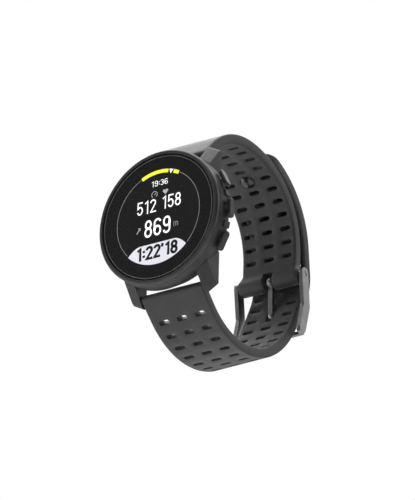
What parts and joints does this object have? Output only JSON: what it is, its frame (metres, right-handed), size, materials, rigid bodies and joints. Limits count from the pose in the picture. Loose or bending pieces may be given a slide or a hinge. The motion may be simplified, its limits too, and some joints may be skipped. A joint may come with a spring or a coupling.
{
  "type": "gps running watch",
  "caption": "Round wrist watch with side buttons, a rear pulse sensor and a perforated strap closed by a pin buckle.",
  "frame": {"origin": "centre of the flat face of the case back, which lies against the wrist", "axes": "-Y out of the display, +Y towards the wrist, +X to 3 o'clock where the buttons are, +Z to 12 o'clock"},
  "size_m": [0.0444, 0.0656, 0.0702],
  "materials": {
    "case_body": "fine matt bead-blasted black coating over steel",
    "bezel": "satin black coated steel ring",
    "crystal_glass": "polished flat crystal with a black printed border",
    "gasket": "matt black rubber",
    "display": "dark reflective display",
    "light_guide": "clear moulded acrylic",
    "inner_plastic": "glass filled black plastic",
    "circuit_board": "green solder mask",
    "shield_metal": "tinned steel can",
    "battery_pouch": "silver foil pouch",
    "antenna_metal": "plated copper strip",
    "steel": "plain stainless steel",
    "gold_contact": "gold plated",
    "sensor_window": "dark tinted clear plastic",
    "lamp": "clear lamp body",
    "case_back_metal": "satin black",
    "button_metal": "satin black coated steel",
    "strap_silicone": "matt black silicone",
    "buckle_metal": "dark grey satin steel"
  },
  "bodies": {
    "case": {"mid_case": "case_body", "bezel_ring": "bezel", "crystal": "crystal_glass", "crystal_gasket": "gasket", "display_panel": "display", "display_light_guide": "light_guide", "display_frame": "inner_plastic", "gps_antenna": "antenna_metal", "inner_chassis": "inner_plastic", "main_board": "circuit_board", "board_shields": "shield_metal", "battery": "battery_pouch", "vibration_motor": "steel", "pressure_sensor": "steel", "button_switches": "inner_plastic", "case_back": "case_back_metal", "back_screws": "steel", "charge_contacts": "gold_contact", "back_gasket": "gasket", "heart_rate_window": "sensor_window", "heart_rate_board": "circuit_board", "heart_rate_leds": "lamp", "light_barrier": "inner_plastic", "upper_button_spring": "steel", "middle_button_spring": "steel", "lower_button_spring": "steel"},
    "upper_button": {"upper_button": "button_metal", "upper_button_seal": "gasket", "upper_button_clip": "steel"},
    "middle_button": {"middle_button": "button_metal", "middle_button_seal": "gasket", "middle_button_clip": "steel"},
    "lower_button": {"lower_button": "button_metal", "lower_button_seal": "gasket", "lower_button_clip": "steel"},
    "upper_strap": {"upper_strap": "strap_silicone", "upper_bar_tube": "steel", "upper_fixed_pin": "steel", "upper_bar_spring": "steel", "buckle_bar": "buckle_metal"},
    "lower_strap": {"lower_strap": "strap_silicone", "lower_bar_tube": "steel", "lower_fixed_pin": "steel", "lower_bar_spring": "steel", "tail_stud": "steel"},
    "upper_release": {"upper_release_pin": "steel"},
    "lower_release": {"lower_release_pin": "steel"},
    "buckle_frame": {"buckle_frame": "buckle_metal"},
    "buckle_tongue": {"buckle_tongue": "buckle_metal"}
  },
  "joints": [
    {"name": "upper_button_press", "type": "slide", "parent": "case", "child": "upper_button", "axis": [-0.891, 0, -0.454], "range_m": [0, 0.00045], "stiffness_N_per_m": 2000, "springref_m": -0.0004, "deforming": ["upper_button_spring"]},
    {"name": "middle_button_press", "type": "slide", "parent": "case", "child": "middle_button", "axis": [-1, 0, 0], "range_m": [0, 0.00045], "stiffness_N_per_m": 2000, "springref_m": -0.0004, "deforming": ["middle_button_spring"]},
    {"name": "lower_button_press", "type": "slide", "parent": "case", "child": "lower_button", "axis": [-0.891, 0, 0.454], "range_m": [0, 0.00045], "stiffness_N_per_m": 2000, "springref_m": -0.0004, "deforming": ["lower_button_spring"]},
    {"name": "strap_opening", "type": "hinge", "parent": "case", "child": "lower_strap", "pos_m": [0, -0.0014, -0.0214], "axis": [-1, 0, 0], "range_deg": [0, 50], "deforming": ["lower_strap"]},
    {"name": "upper_strap_hinge", "type": "hinge", "parent": "case", "child": "upper_strap", "pos_m": [0, -0.0014, 0.0214], "axis": [1, 0, 0], "range_deg": [0, 50], "deforming": ["upper_strap"]},
    {"name": "buckle_hinge", "type": "hinge", "parent": "upper_strap", "child": "buckle_frame", "pos_m": [0, 0.04793, 0.00053], "axis": [1, 0, 0], "range_deg": [0, 20]},
    {"name": "tongue_hinge", "type": "hinge", "parent": "upper_strap", "child": "buckle_tongue", "pos_m": [0, 0.04793, 0.00053], "axis": [1, 0, 0], "range_deg": [0, 35]},
    {"name": "upper_quick_release", "type": "slide", "parent": "upper_strap", "child": "upper_release", "axis": [-1, 0, 0], "range_m": [0, 0.0014], "stiffness_N_per_m": 900, "springref_m": -0.0005, "deforming": ["upper_bar_spring"]},
    {"name": "lower_quick_release", "type": "slide", "parent": "lower_strap", "child": "lower_release", "axis": [-1, 0, 0], "range_m": [0, 0.0014], "stiffness_N_per_m": 900, "springref_m": -0.0005, "deforming": ["lower_bar_spring"]}
  ],
  "couplings": [
    {"joint": "upper_strap_hinge", "follows": "strap_opening", "ratio": 1},
    {"joint": "buckle_hinge", "follows": "strap_opening", "ratio": 0.4},
    {"joint": "tongue_hinge", "follows": "strap_opening", "ratio": 0.7}
  ]
}
